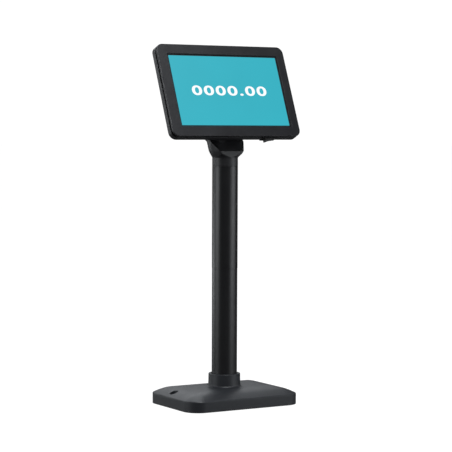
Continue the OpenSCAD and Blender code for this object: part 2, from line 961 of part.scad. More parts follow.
module lower_tube() {
    color([0.16, 0.16, 0.17])
        difference() {
            pole_tube(lower_tube_r, lower_tube_z, tube_joint_z);
            back_hole(tube_joint_z - coupler_screw_z, 2.1);
        }
}

module tube_coupler() {
    color([0.6, 0.61, 0.63])
        difference() {
            ring(tube_bore_r - 0.05, 11.2, tube_joint_z - coupler_half, tube_joint_z + coupler_half);
            for (sz = [-1, 1])
                back_hole(tube_joint_z + sz * coupler_screw_z, 2);
        }
}

module coupler_screws() {
    color([0.3, 0.3, 0.32])
        for (sz = [-1, 1])
            translate([0, 0, tube_joint_z + sz * coupler_screw_z])
                rotate([-90, 0, 0])
                    difference() {
                        translate([0, 0, 11.4])
                            cylinder(r = 1.95, h = 3.8);
                        translate([0, 0, 13.6])
                            cylinder(r = 1.1, h = 3, $fn = 6);
                    }
}

module pole_seal() {
    color([0.04, 0.04, 0.04])
        ring(collar_bore_r - 0.05, lower_tube_r + 0.02, collar_z - 5.9, collar_z - 3.55);
}

// ================= base =================

module pole_flange() {
    color([0.45, 0.46, 0.48])
        difference() {
            union() {
                translate([0, 0, flange_z])
                    cylinder(r = flange_r, h = flange_foot_t);
                translate([0, 0, flange_z])
                    cylinder(r = flange_socket_r, h = flange_socket_z - flange_z);
            }
            translate([0, 0, flange_z + flange_foot_t])
                cylinder(r = lower_tube_r + 0.04, h = 40);
            translate([0, 0, flange_z - 1])
                cylinder(r = 9, h = 10);
            for (sx = [-1, 1], sy = [-1, 1])
                translate([sx * flange_screw, sy * flange_screw, flange_z - 1])
                    cylinder(r = 2.1, h = 10);
        }
}

module flange_screws() {
    top = flange_z + flange_foot_t;
    color([0.6, 0.6, 0.62])
        for (sx = [-1, 1], sy = [-1, 1])
            translate([sx * flange_screw, sy * flange_screw, 0]) {
                translate([0, 0, top])
                    cylinder(r = 3.4, h = 2.2);
                translate([0, 0, ballast_z + 1.5])
                    cylinder(r = 1.95, h = top - ballast_z - 1);
            }
}

// Section through the collar: a flared foot on the crown, a drafted wall and a chamfered rim
module collar_section() {
    flare = 2.6;
    draft = 0.25;
    chamfer = 0.7;
    lip_r = lower_tube_r + 0.8;
    foot_z = crown_z + 0.02;
    steps = 8;
    polygon(concat(
        [[collar_bore_r, foot_z]],
        [for (i = [0:steps])
            [collar_r + flare - flare * sin(90 * i / steps),
             foot_z + flare - flare * cos(90 * i / steps)]],
        [[collar_r - draft, collar_z - chamfer], [collar_r - draft - chamfer, collar_z],
         [lip_r + chamfer, collar_z], [lip_r, collar_z - chamfer],
         [lip_r, collar_z - 3.5], [collar_bore_r, collar_z - 3.5]]));
}

module counter_hole_places() {
    for (sx = [-1, 1])
        translate([sx * counter_hole_spacing / 2, counter_hole_y, 0])
            children();
}

module base_screw_places() {
    for (sx = [-1, 1], sy = [-1, 1])
        translate([sx * base_screw_x, sy * base_screw_y, 0])
            children();
}

// Sleeve that covers the foot of the pole and stands on the crown
module pole_collar() {
    color([0.15, 0.15, 0.16])
        rotate_extrude()
            collar_section();
}

// The crowned shell, with its screw bosses, counter-screw wells and cable outlet
module base_cover() {
    boss_z = bottom_top_z + 0.05;
    color([0.15, 0.15, 0.16])
        difference() {
            edged_block(base_w, base_d, base_corner, crown_outside);
            cylinder(r = collar_bore_r, h = 40);
            difference() {
                edged_block(base_w - 2 * base_shell, base_d - 2 * base_shell,
                    base_corner - base_shell, crown_inside);
                base_screw_places()
                    translate([0, 0, boss_z])
                        cylinder(r = 3.6, h = 30);
                counter_hole_places()
                    translate([0, 0, boss_z])
                        cylinder(r = 7, h = 30);
            }
            base_screw_places()
                translate([0, 0, boss_z - 1])
                    cylinder(r = 1.25, h = 9);
            counter_hole_places() {
                translate([0, 0, counter_well_z])
                    cylinder(r = counter_well_r, h = 30);
                cylinder(r = counter_hole_r, h = 30);
            }
            translate([-outlet_w / 2, base_d / 2 - 6, outlet_z0])
                cube([outlet_w, 10, outlet_z1 - outlet_z0]);
        }
}

module ballast_plate() {
    color([0.3, 0.31, 0.32])
        difference() {
            translate([0, 0, ballast_z])
                linear_extrude(ballast_t)
                    rounded_rect(ballast_w, ballast_d, 8);
            translate([-cable_slot_w / 2, 0, ballast_z - 1])
                cube([cable_slot_w, ballast_d, ballast_t + 2]);
            translate([0, 0, ballast_z - 1])
                cylinder(r = 9, h = ballast_t + 2);
            for (sx = [-1, 1], sy = [-1, 1]) {
                translate([sx * flange_screw, sy * flange_screw, ballast_z + 1])
                    cylinder(r = 2, h = ballast_t);
                translate([sx * ballast_screw_x, sy * ballast_screw_y, ballast_z - 1])
                    cylinder(r = 2, h = ballast_t);
            }
        }
}

// A countersunk screw pointing up, its head flush with the bottom plate
module countersunk_screw(head_r, shank_r, top_z) {
    translate([0, 0, foot_h + 0.05]) {
        cylinder(r1 = head_r, r2 = shank_r, h = bottom_t - 0.1);
        cylinder(r = shank_r, h = top_z - foot_h - 0.05);
    }
}

module ballast_screws() {
    color([0.6, 0.6, 0.62])
        for (sx = [-1, 1], sy = [-1, 1])
            translate([sx * ballast_screw_x, sy * ballast_screw_y, 0])
                countersunk_screw(3.6, 1.95, ballast_z + 6);
}

module base_screws() {
    color([0.6, 0.6, 0.62])
        base_screw_places()
            countersunk_screw(3, 1.2, ballast_z + 6);
}

module bottom_plate() {
    margin = base_shell + 0.2;
    color([0.2, 0.2, 0.21])
        difference() {
            translate([0, 0, foot_h])
                linear_extrude(bottom_t)
                    rounded_rect(base_w - 2 * margin, base_d - 2 * margin, base_corner - margin);
            counter_hole_places()
                cylinder(r = counter_hole_r, h = 10);
            base_screw_places()
                translate([0, 0, foot_h - 0.05])
                    cylinder(r1 = 3.2, r2 = 1.3, h = bottom_t + 0.1);
            for (sx = [-1, 1], sy = [-1, 1])
                translate([sx * ballast_screw_x, sy * ballast_screw_y, foot_h - 0.05])
                    cylinder(r1 = 3.8, r2 = 2.05, h = bottom_t + 0.1);
        }
}

module rubber_feet() {
    color([0.05, 0.05, 0.05])
        for (sx = [-1, 1], sy = [-1, 1])
            translate([sx * foot_x, sy * foot_y, 0])
                rotate_extrude()
                    polygon([[0, 0], [foot_r - 0.4, 0], [foot_r, 0.4], [foot_r, foot_h], [0, foot_h]]);
}

module cable_grommet() {
    wall = 1.6;
    depth = base_shell + 2.6;
    height = outlet_z1 - outlet_z0 - 0.1;
    width = outlet_w - 0.1;
    color([0.04, 0.04, 0.04])
        translate([0, base_d / 2 - 0.2, (outlet_z0 + outlet_z1) / 2])
            difference() {
                union() {
                    translate([-width / 2, -depth, -height / 2])
                        cube([width, depth, height]);
                    translate([-width / 2 - 1.2, -depth, -height / 2])
                        cube([width + 2.4, depth - base_shell - 0.1, height - 1]);
                }
                translate([-width / 2 + wall, -depth - 1, -height / 2 + wall - 0.8])
                    cube([width - 2 * wall, depth + 2, height - 2 * wall + 1.6]);
            }
}

// ================= nodes =================

front_bezel();
lcd_gasket();
lcd_polarizer();
lcd_glass();
lcd_backlight();
lcd_tray();
lcd_ribbon();
chassis_plate();
chassis_screws();
case_standoffs();
board_standoffs();
controller_board();
board_chips();
board_connectors();
board_screws();
rear_cover();
case_screws();
hinge_bracket();
bracket_screws();
switch_housing();
power_rocker();
neck_shell();
neck_front_cover();
hinge_bolt();
hinge_washers();
hinge_nut();
hinge_caps();
swivel_spigot();
spigot_screws();
swivel_stop_ring();
swivel_spring();
swivel_nut();
swivel_washer();
swivel_bush();
upper_tube();
tube_coupler();
coupler_screws();
lower_tube();
pole_seal();
pole_flange();
flange_screws();
base_cover();
pole_collar();
ballast_plate();
ballast_screws();
bottom_plate();
base_screws();
rubber_feet();
cable_grommet();
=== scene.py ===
"""Looks for the customer pole display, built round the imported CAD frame. Lengths in metres."""
import json
import math

import bmesh
import bpy
from mathutils import Matrix, Vector


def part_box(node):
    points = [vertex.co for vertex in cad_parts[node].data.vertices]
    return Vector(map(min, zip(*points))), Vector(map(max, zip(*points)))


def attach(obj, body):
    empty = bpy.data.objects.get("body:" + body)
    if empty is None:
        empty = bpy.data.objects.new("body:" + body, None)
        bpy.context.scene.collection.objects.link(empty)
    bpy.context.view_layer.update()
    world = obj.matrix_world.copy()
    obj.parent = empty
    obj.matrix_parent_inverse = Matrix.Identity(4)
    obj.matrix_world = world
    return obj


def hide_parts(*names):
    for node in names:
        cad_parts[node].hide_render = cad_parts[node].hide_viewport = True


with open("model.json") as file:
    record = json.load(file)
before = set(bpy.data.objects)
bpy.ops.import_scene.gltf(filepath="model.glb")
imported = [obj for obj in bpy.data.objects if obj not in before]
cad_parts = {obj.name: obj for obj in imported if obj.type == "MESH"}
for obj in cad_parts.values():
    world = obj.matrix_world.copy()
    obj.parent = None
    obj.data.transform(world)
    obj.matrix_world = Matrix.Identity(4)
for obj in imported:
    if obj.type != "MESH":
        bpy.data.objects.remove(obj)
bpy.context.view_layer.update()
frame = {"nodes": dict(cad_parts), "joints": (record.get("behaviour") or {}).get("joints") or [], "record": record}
MM = 0.001


# ---------------------------------------------------------------- the frame's own sizes

def joint(name):
    """A joint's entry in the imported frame."""
    return next(j for j in frame["joints"] if j["name"] == name)


HINGE = Vector(joint("head_tilt")["pos_m"])
ROCKER_AXIS = Vector(joint("rocker_switch")["axis"])
TILT = math.atan2(-ROCKER_AXIS.z, ROCKER_AXIS.y)      # how far the head leans back at rest
HINGE_DEPTH = 36 * MM                                  # hinge axis behind the bezel's front face
HINGE_DROP = 35 * MM                                   # hinge axis below the face's centre

# Turns positions on the head (X across, Y depth from the front face, Z up the face) into the
# model's own frame.
ON_HEAD = (Matrix.Translation(HINGE) @ Matrix.Rotation(-TILT, 4, "X")
           @ Matrix.Translation((0, -HINGE_DEPTH, HINGE_DROP)))
TO_HEAD = ON_HEAD.inverted()


def head_box(node):
    """A head node's lowest and highest corners in the head's own frame."""
    points = [TO_HEAD @ v.co for v in frame["nodes"][node].data.vertices]
    low = Vector([min(p[i] for p in points) for i in range(3)])
    high = Vector([max(p[i] for p in points) for i in range(3)])
    return low, high


BEZEL_LOW, BEZEL_HIGH = head_box("front_bezel")
HEAD_W = BEZEL_HIGH.x - BEZEL_LOW.x
HEAD_H = BEZEL_HIGH.z - BEZEL_LOW.z
HEAD_R = 9 * MM                                        # corner radius of the head's outline
HEAD_D = head_box("rear_cover")[1].y
FILM_LOW, FILM_HIGH = head_box("lcd_polarizer")
SCREEN_X = (FILM_LOW.x + FILM_HIGH.x) / 2
WINDOW_BORDER = 1.6 * MM                               # dark glass round the lit area
WINDOW_W = FILM_HIGH.x - FILM_LOW.x + 2 * WINDOW_BORDER
WINDOW_H = FILM_HIGH.z - FILM_LOW.z + 2 * WINDOW_BORDER
FACE_T = FILM_LOW.y                                    # how deep the film lies in the window


# ---------------------------------------------------------------- mesh helpers

def make_object(name, mesh):
    """An object in the scene with this data."""
    piece = bpy.data.objects.new(name, mesh)
    bpy.context.scene.collection.objects.link(piece)
    return piece


def mesh_from(name, points, faces):
    """A mesh whose faces all look outwards."""
    mesh = bpy.data.meshes.new(name)
    mesh.from_pydata([tuple(p) for p in points], [], faces)
    work = bmesh.new()
    work.from_mesh(mesh)
    bmesh.ops.recalc_face_normals(work, faces=work.faces)
    work.to_mesh(mesh)
    work.free()
    return mesh


def smooth_shading(mesh, degrees=28):
    """Shades smoothly, except across edges that turn more than this."""
    for face in mesh.polygons:
        face.use_smooth = True
    mesh.set_sharp_from_angle(angle=math.radians(degrees))


def rounded_ring(w, h, r, steps=10):
    """Points round a rounded rectangle, anticlockwise from the foot of its top right corner."""
    ring = []
    for quarter, (sx, sy) in enumerate([(1, 1), (-1, 1), (-1, -1), (1, -1)]):
        for i in range(steps + 1):
            a = math.pi / 2 * (quarter + i / steps)
            ring.append((sx * (w / 2 - r) + r * math.cos(a), sy * (h / 2 - r) + r * math.sin(a)))
    return ring


def loft(name, rings, looped=False):
    """A mesh through rings with equal numbers of points, closed by caps or by joining its ends."""
    count = len(rings[0])
    points = [p for ring in rings for p in ring]
    faces = []
    pairs = len(rings) if looped else len(rings) - 1
    for i in range(pairs):
        a, b = i * count, (i + 1) % len(rings) * count
        for j in range(count):
            k = (j + 1) % count
            faces.append((a + j, a + k, b + k, b + j))
    if not looped:
        faces.append(tuple(range(count))[::-1])
        faces.append(tuple(range((len(rings) - 1) * count, len(rings) * count)))
    return mesh_from(name, points, faces)


def softened(corners, steps, support=0.12 * MM):
    """A polyline whose corners (x, y, radius) are rounded in this many steps.

    A support point just outside each end of a round stretch keeps the flat parts' shading flat.
    """
    out = []
    for i, (x, y, r) in enumerate(corners):
        here = Vector((x, y))
        if r == 0 or i in (0, len(corners) - 1):
            out.append(here)
            continue
        before = Vector(corners[i - 1][:2])
        after = Vector(corners[i + 1][:2])
        u = (before - here).normalized()
        v = (after - here).normalized()
        half = u.angle(v) / 2
        reach = r / math.tan(half)
        centre = here + (u + v).normalized() * (r / math.sin(half))
        start = here + u * reach - centre
        end = here + v * reach - centre
        turn = start.angle_signed(end)
        out.append(here + u * (reach + support))
        for k in range(steps + 1):
            a = -turn * k / steps
            spun = Vector((start.x * math.cos(a) - start.y * math.sin(a),
                           start.x * math.sin(a) + start.y * math.cos(a)))
            out.append(centre + spun)
        out.append(here + v * (reach + support))
    return out


def lathe(name, profile, centre=(0, 0, 0), sides=96):
    """A turned mesh about Z, whose section is the closed loop of these (radius, height) points."""
    rings = []
    for r, z in profile:
        rings.append([Vector((centre[0] + r * math.cos(2 * math.pi * i / sides),
                              centre[1] + r * math.sin(2 * math.pi * i / sides),
                              centre[2] + z)) for i in range(sides)])
    return loft(name, rings, looped=True)


def joined(name, meshes):
    """One mesh that holds all of these."""
    work = bmesh.new()
    for mesh in meshes:
        work.from_mesh(mesh)
    mesh = bpy.data.meshes.new(name)
    work.to_mesh(mesh)
    work.free()
    return mesh


def box_mesh(low, high, matrix=Matrix.Identity(4)):
    """A box between two corners, which the matrix then moves."""
    work = bmesh.new()
    size = Vector(high) - Vector(low)
    middle = (Vector(high) + Vector(low)) / 2
    fitted = matrix @ Matrix.Translation(middle) @ Matrix.Diagonal((*size, 1))
    bmesh.ops.create_cube(work, size=1, matrix=fitted)
    mesh = bpy.data.meshes.new("box")
    work.to_mesh(mesh)
    work.free()
    return mesh


def rod_mesh(centre, direction, r, length, sides=32):
    """A closed rod of the given length, centred on a point."""
    work = bmesh.new()
    turn = Vector((0, 0, 1)).rotation_difference(Vector(direction)).to_matrix().to_4x4()
    bmesh.ops.create_cone(work, cap_ends=True, segments=sides, radius1=r, radius2=r, depth=length,
                          matrix=Matrix.Translation(centre) @ turn)
    mesh = bpy.data.meshes.new("rod")
    work.to_mesh(mesh)
    work.free()
    return mesh


def apply_modifiers(piece):
    """Applies a piece's modifiers."""
    evaluated = piece.evaluated_get(bpy.context.evaluated_depsgraph_get())
    mesh = bpy.data.meshes.new_from_object(evaluated)
    piece.modifiers.clear()
    old = piece.data
    piece.data = mesh
    bpy.data.meshes.remove(old)


def combine(piece, mesh, operation="DIFFERENCE"):
    """Cuts a mesh out of a piece, or unites the two."""
    other = make_object("cutter", mesh)
    step = piece.modifiers.new("combine", "BOOLEAN")
    step.operation = operation
    step.solver = "EXACT"
    step.object = other
    apply_modifiers(piece)
    bpy.data.objects.remove(other)


def cad_copy(node, name):
    """A copy of a CAD node's mesh, its doubled points merged, to be reshaped as a piece."""
    mesh = frame["nodes"][node].data.copy()
    mesh.name = name
    work = bmesh.new()
    work.from_mesh(mesh)
    bmesh.ops.remove_doubles(work, verts=work.verts, dist=1e-6)
    bmesh.ops.dissolve_limit(work, angle_limit=math.radians(0.5), verts=work.verts,
                             edges=work.edges)
    work.to_mesh(mesh)
    work.free()
    mesh.materials.clear()
    return make_object(name, mesh)


def bevelled(piece, width):
    """Rounds a piece's sharp edges."""
    step = piece.modifiers.new("edges", "BEVEL")
    step.width = width
    step.segments = 3
    step.limit_method = "ANGLE"
    step.angle_limit = math.radians(32)
    step.use_clamp_overlap = True
    apply_modifiers(piece)
    smooth_shading(piece.data, 40)
    return piece


def place(piece, body, node, material):
    """Puts a finished piece on its body, in place of a CAD node if it has one."""
    piece.data.materials.clear()
    piece.data.materials.append(material)
    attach(piece, body)
    if node:
        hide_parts(node)


# ---------------------------------------------------------------- materials

NOISE_LOW = 0.3          # the range that nearly all of a noise texture's values lie in
NOISE_HIGH = 0.7
GRAIN_DEPTH = 0.3        # a grain's depth, as a share of its size
GLOW_PATCH = 0.06        # size of a lit surface's weaker patches
BRUSH_SCALE = 900        # drawn lines per metre, before they are stretched
BRUSH_SPREAD = 0.08      # how far the roughness of drawn lines varies each way
BRUSH_DARK = 0.88        # the darkest line's tone, as a share of the colour


def new_material(name):
    """A material, with its nodes, its links and its shader."""
    material = bpy.data.materials.new(name)
    material.use_nodes = True
    nodes = material.node_tree.nodes
    links = material.node_tree.links
    return material, nodes, links, nodes["Principled BSDF"]


def srgb(r, g, b):
    """An 8-bit display colour as a linear one."""
    def linear(c):
        c /= 255
        return c / 12.92 if c <= 0.04045 else ((c + 0.055) / 1.055) ** 2.4
    return (linear(r), linear(g), linear(b), 1)


def grey(value):
    """An 8-bit display grey as a linear colour."""
    return srgb(value, value, value)


def scaled(colour, factor):
    """A colour made darker or lighter, no part of it past 1."""
    return tuple(min(1, c * factor) for c in colour[:3]) + (1,)


def noise(nodes, links, coords, size, detail=3.0):
    """Noise whose features are about size metres across."""
    texture = nodes.new("ShaderNodeTexNoise")
    texture.inputs["Scale"].default_value = 1 / size
    texture.inputs["Detail"].default_value = detail
    links.new(coords.outputs["Object"], texture.inputs["Vector"])
    return texture


def mapped(nodes, links, source, low, high):
    """A noise's values spread over a range."""
    step = nodes.new("ShaderNodeMapRange")
    step.inputs["From Min"].default_value = NOISE_LOW
    step.inputs["From Max"].default_value = NOISE_HIGH
    step.inputs["To Min"].default_value = low
    step.inputs["To Max"].default_value = high
    links.new(source.outputs["Fac"], step.inputs["Value"])
    return step


def textured(name, colour, variation, roughness, spread, grain, bump, cloud=0.02, metallic=0.0):
    """A surface with a fine grain, and slow drifts of tone and roughness over it.

    variation is how far the tone drifts, spread how far the roughness does, grain the size of the
    grain and cloud that of the drifts, and bump the grain's strength.
    """
    material, nodes, links, shader = new_material(name)
    coords = nodes.new("ShaderNodeTexCoord")
    slow = noise(nodes, links, coords, cloud)
    fine = noise(nodes, links, coords, grain, 2.0)
    tone = nodes.new("ShaderNodeMixRGB")
    tone.inputs["Color1"].default_value = scaled(colour, 1 - variation)
    tone.inputs["Color2"].default_value = scaled(colour, 1 + variation)
    links.new(mapped(nodes, links, slow, 0, 1).outputs["Result"], tone.inputs["Fac"])
    links.new(tone.outputs["Color"], shader.inputs["Base Color"])
    both = nodes.new("ShaderNodeMath")
    both.operation = "ADD"
    links.new(mapped(nodes, links, slow, roughness - spread, roughness).outputs["Result"],
              both.inputs[0])
    links.new(mapped(nodes, links, fine, 0, spread).outputs["Result"], both.inputs[1])
    links.new(both.outputs["Value"], shader.inputs["Roughness"])
    if bump:
        height = nodes.new("ShaderNodeBump")
        height.inputs["Strength"].default_value = bump
        height.inputs["Distance"].default_value = grain * GRAIN_DEPTH
        links.new(fine.outputs["Fac"], height.inputs["Height"])
        links.new(height.outputs["Normal"], shader.inputs["Normal"])
    shader.inputs["Metallic"].default_value = metallic
    return material


def lit(name, colour, glow, strength, drift):
    """A lit surface: a matt film that shines evenly, a little weaker in slow patches."""
    material, nodes, links, shader = new_material(name)
    shader.inputs["Base Color"].default_value = colour
    shader.inputs["Roughness"].default_value = 0.5
    shader.inputs["Specular IOR Level"].default_value = 0.25
    shader.inputs["Emission Strength"].default_value = strength
    coords = nodes.new("ShaderNodeTexCoord")
    slow = noise(nodes, links, coords, GLOW_PATCH, 1.0)
    tone = nodes.new("ShaderNodeMixRGB")
    tone.inputs["Color1"].default_value = scaled(glow, 1 - drift)
    tone.inputs["Color2"].default_value = glow
    links.new(mapped(nodes, links, slow, 0, 1).outputs["Result"], tone.inputs["Fac"])
    links.new(tone.outputs["Color"], shader.inputs["Emission Color"])
    return material


def brushed(name, colour, roughness, stretch=(1, 1, 40)):
    """Metal with fine drawn lines along one direction."""
    material, nodes, links, shader = new_material(name)
    coords = nodes.new("ShaderNodeTexCoord")
    scale = nodes.new("ShaderNodeMapping")
    scale.inputs["Scale"].default_value = stretch
    links.new(coords.outputs["Object"], scale.inputs["Vector"])
    lines = nodes.new("ShaderNodeTexNoise")
    lines.inputs["Scale"].default_value = BRUSH_SCALE
    links.new(scale.outputs["Vector"], lines.inputs["Vector"])
    spread = mapped(nodes, links, lines, roughness - BRUSH_SPREAD, roughness + BRUSH_SPREAD)
    links.new(spread.outputs["Result"], shader.inputs["Roughness"])
    tone = nodes.new("ShaderNodeMixRGB")
    tone.inputs["Color1"].default_value = scaled(colour, BRUSH_DARK)
    tone.inputs["Color2"].default_value = colour
    links.new(lines.outputs["Fac"], tone.inputs["Fac"])
    links.new(tone.outputs["Color"], shader.inputs["Base Color"])
    shader.inputs["Metallic"].default_value = 1
    return material


# After its name, each textured line gives colour, variation, roughness, spread, grain and bump.
BEZEL_BLACK = textured("bezel_black", srgb(15, 15, 19), 0.06, 0.41, 0.05, 0.35 * MM, 0.2)
# Partly the rear cover's own dark grey, partly painted reflection: lifted above the bezel's black to stand in for
# the light its sides catch.
CASE_BLACK_PAINTED_REFLECTION = textured("case_black_painted_reflection", srgb(32, 32, 35), 0.06, 0.46, 0.05, 0.4 * MM, 0.25)
NECK_BLACK = textured("neck_black", srgb(28, 28, 30), 0.06, 0.44, 0.05, 0.4 * MM, 0.25)
# The neck's front cover is lighter than the neck: painted light, lifting its face out of the shade the head casts
# on it.
NECK_COVER_PAINTED_FILL = textured("neck_cover_painted_fill", srgb(40, 40, 43), 0.05, 0.5, 0.04, 0.3 * MM, 0.2)
POLE_BLACK = textured("pole_black", srgb(17, 17, 19), 0.05, 0.36, 0.04, 0.25 * MM, 0.1)
BASE_BLACK = textured("base_black", srgb(33, 35, 39), 0.05, 0.45, 0.05, 0.3 * MM, 0.2)
SWITCH_BLACK = textured("switch_black", grey(58), 0.05, 0.5, 0.05, 0.3 * MM, 0.2)
# The rocker's black plastic is lifted to mid grey: a painted sheen that stands in for its highlights.
ROCKER_BLACK_PAINTED_SHEEN = textured("rocker_black_painted_sheen", grey(76), 0.05, 0.35, 0.05, 0.3 * MM, 0.15)
RUBBER_BLACK = textured("rubber_black", grey(20), 0.08, 0.75, 0.08, 0.5 * MM, 0.4)
FOAM_BLACK = textured("foam_black", grey(18), 0.1, 0.85, 0.08, 0.3 * MM, 0.6)
GLASS_BLACK = textured("glass_black", grey(30), 0.05, 0.3, 0.02, 1 * MM, 0)
BRACKET_BLACK = textured("bracket_black", grey(42), 0.08, 0.5, 0.06, 0.5 * MM, 0.35)
SCREW_BLACK = textured("screw_black", grey(30), 0.08, 0.38, 0.06, 0.2 * MM, 0.15, metallic=0.6)
SHEET_BLACK = textured("sheet_black", grey(38), 0.06, 0.45, 0.05, 0.5 * MM, 0.25)
BALLAST_GREY = textured("ballast_grey", grey(70), 0.12, 0.6, 0.1, 0.8 * MM, 0.4)
FLANGE_GREY = textured("flange_grey", grey(120), 0.1, 0.5, 0.08, 0.6 * MM, 0.3, metallic=0.9)
BOARD_GREEN = textured("board_green", srgb(18, 84, 46), 0.12, 0.35, 0.08, 0.6 * MM, 0.15,
                       cloud=0.004)
CHIP_BLACK = textured("chip_black", grey(34), 0.08, 0.6, 0.06, 0.2 * MM, 0.2)
IVORY = textured("ivory", srgb(222, 216, 196), 0.03, 0.45, 0.05, 0.3 * MM, 0.1)
ACETAL = textured("acetal", srgb(228, 226, 218), 0.02, 0.4, 0.05, 0.4 * MM, 0.1)
DIFFUSER = textured("diffuser", srgb(236, 236, 230), 0.02, 0.6, 0.05, 0.3 * MM, 0.1)
AMBER = textured("amber", srgb(188, 120, 34), 0.1, 0.3, 0.05, 0.5 * MM, 0.1, cloud=0.003)
ZINC = brushed("zinc", srgb(196, 198, 202), 0.35)
STEEL = brushed("steel", srgb(188, 190, 194), 0.32)
ALLOY = brushed("alloy", srgb(200, 202, 206), 0.3, (1, 1, 60))
BRASS = brushed("brass", srgb(214, 178, 92), 0.3)
SCREEN_TEAL = lit("screen_teal", grey(6), srgb(50, 183, 201), 0.93, 0.03)
DIGIT_WHITE = lit("digit_white", grey(40), srgb(252, 254, 255), 1.0, 0.01)

SLOT_MATERIALS = {
    "bezel_plastic": BEZEL_BLACK, "case_plastic": CASE_BLACK_PAINTED_REFLECTION, "screen_film": SCREEN_TEAL,
    "screen_glass": GLASS_BLACK, "gasket_foam": FOAM_BLACK, "backlight_white": DIFFUSER,
    "tray_steel": STEEL, "flex_amber": AMBER, "zinc_sheet": ZINC, "standoff_brass": BRASS,
    "zinc_screw": ZINC, "black_screw": SCREW_BLACK, "board_green": BOARD_GREEN,
    "chip_black": CHIP_BLACK, "connector_ivory": IVORY, "bracket_steel": BRACKET_BLACK,
    "switch_plastic": SWITCH_BLACK, "rocker_plastic": ROCKER_BLACK_PAINTED_SHEEN, "neck_plastic": NECK_BLACK,
    "neck_cover_plastic": NECK_COVER_PAINTED_FILL, "acetal_white": ACETAL, "spigot_alloy": ALLOY,
    "spring_steel": STEEL, "pole_paint": POLE_BLACK, "coupler_alloy": ALLOY,
    "base_plastic": BASE_BLACK, "flange_zinc": FLANGE_GREY, "ballast_iron": BALLAST_GREY,
    "bottom_sheet": SHEET_BLACK, "foot_rubber": RUBBER_BLACK,
}
for part in frame["record"]["subparts"]:
    node = frame["nodes"][part["node"]]
    node.data.materials.clear()
    node.data.materials.append(SLOT_MATERIALS[part["material_slot"]])


# ---------------------------------------------------------------- the head

def face_ring(depth, w, h, r, shift=0.0):
    """A rounded rectangle on the head at one depth, moved sideways by shift."""
    return [ON_HEAD @ Vector((x + shift, depth, z)) for x, z in rounded_ring(w, h, r)]


def head_ring(inset, depth):
    """A ring round the head at one depth, this far in from its outline."""
    return face_ring(depth, HEAD_W - 2 * inset, HEAD_H - 2 * inset, max(HEAD_R - inset, 1.5 * MM))


def make_bezel():
    """The bezel: the window's chamfer, the front face, the rim, and back into the groove."""
    chamfer = 0.7 * MM
    window_r = 0.6 * MM
    rim_depth = 2.2 * MM
    groove = 2.4 * MM
    back = 4 * MM
    pocket = 4.5 * MM
    window = softened([(0, FACE_T, 0), (0, chamfer, 0.15 * MM), (chamfer, 0, 0.15 * MM),
                       (4 * MM, 0, 0)], 2, 0.05 * MM)
    rim = softened([(6 * MM, 0, 0), (0.27 * MM, 0, 0.45 * MM), (0.12 * MM, rim_depth, 0.2 * MM),
                    (groove, back, 0.1 * MM), (groove + 2 * MM, back, 0)], 5)
    rings = []
    for out, depth in window[:-1]:
        rings.append(face_ring(depth, WINDOW_W + 2 * out, WINDOW_H + 2 * out, window_r + out,
                               SCREEN_X))
    for inset, depth in rim[1:]:
        rings.append(head_ring(inset, depth))
    for depth in (back, FACE_T):
        rings.append(face_ring(depth, WINDOW_W + 2 * pocket, WINDOW_H + 2 * pocket, 1 * MM,
                               SCREEN_X))
    mesh = loft("bezel", rings, looped=True)
    smooth_shading(mesh)
    place(make_object("bezel", mesh), "head", "front_bezel", BEZEL_BLACK)


make_bezel()


def make_rear_cover():
    """The rear cover as a shell, then its switch pod, vents, hinge window and screw wells."""
    wall = 2.4 * MM
    skin = 2 * MM
    lip = 4.2 * MM
    outer = softened([
        (3.4 * MM, lip, 0), (2.8 * MM, lip, 0.1 * MM), (2.8 * MM, 5.2 * MM, 0.1 * MM),
        (0, 5.6 * MM, 0.35 * MM), (0, 11.9 * MM, 0.8 * MM), (13.2 * MM, HEAD_D, 1.5 * MM),
        (20 * MM, HEAD_D, 0)], 6)
    inner = [(20 * MM, HEAD_D - skin), (14.8 * MM, HEAD_D - skin), (3.4 * MM, 11 * MM)]
    rings = [head_ring(inset, depth) for inset, depth in inner]
    rings += [head_ring(inset, depth) for inset, depth in outer]
    piece = make_object("rear_case", loft("rear_case", rings))

    low, high = head_box("switch_housing")
    pod = box_mesh((low.x - 1 * MM, lip + 0.2 * MM, low.z),
                   (high.x + 1 * MM, high.y + 1.2 * MM, low.z + 5 * MM), ON_HEAD)
    combine(piece, pod, "UNION")

    gap = 0.1 * MM
    cutters = [box_mesh((low.x - gap, low.y - gap, low.z - 3 * MM),
                        (high.x + gap, high.y + gap, high.z + wall), ON_HEAD)]
    inside = HEAD_D - 4 * MM
    outside = HEAD_D + 2 * MM
    vent_pitch = 6 * MM
    vent_half = 1 * MM
    vent_low, vent_high = 10 * MM, 28 * MM
    for i in range(-7, 8):
        x = i * vent_pitch
        cutters.append(box_mesh((x - vent_half, inside, vent_low),
                                (x + vent_half, outside, vent_high), ON_HEAD))
    ears = 12.6 * MM
    ears_low, ears_high = -43.8 * MM, -26.2 * MM
    cutters.append(box_mesh((-ears, inside, ears_low), (ears, outside, ears_high), ON_HEAD))
    screw_x, screw_z = 62 * MM, 36 * MM
    well_r, well_deep = 3.2 * MM, 8 * MM
    back = ON_HEAD.to_3x3() @ Vector((0, 1, 0))
    for x in (-screw_x, screw_x):
        for z in (-screw_z, screw_z):
            cutters.append(rod_mesh(ON_HEAD @ Vector((x, HEAD_D, z)), back, well_r, well_deep))
    combine(piece, joined("cutters", cutters))
    smooth_shading(piece.data)
    place(piece, "head", "rear_cover", CASE_BLACK_PAINTED_REFLECTION)


make_rear_cover()


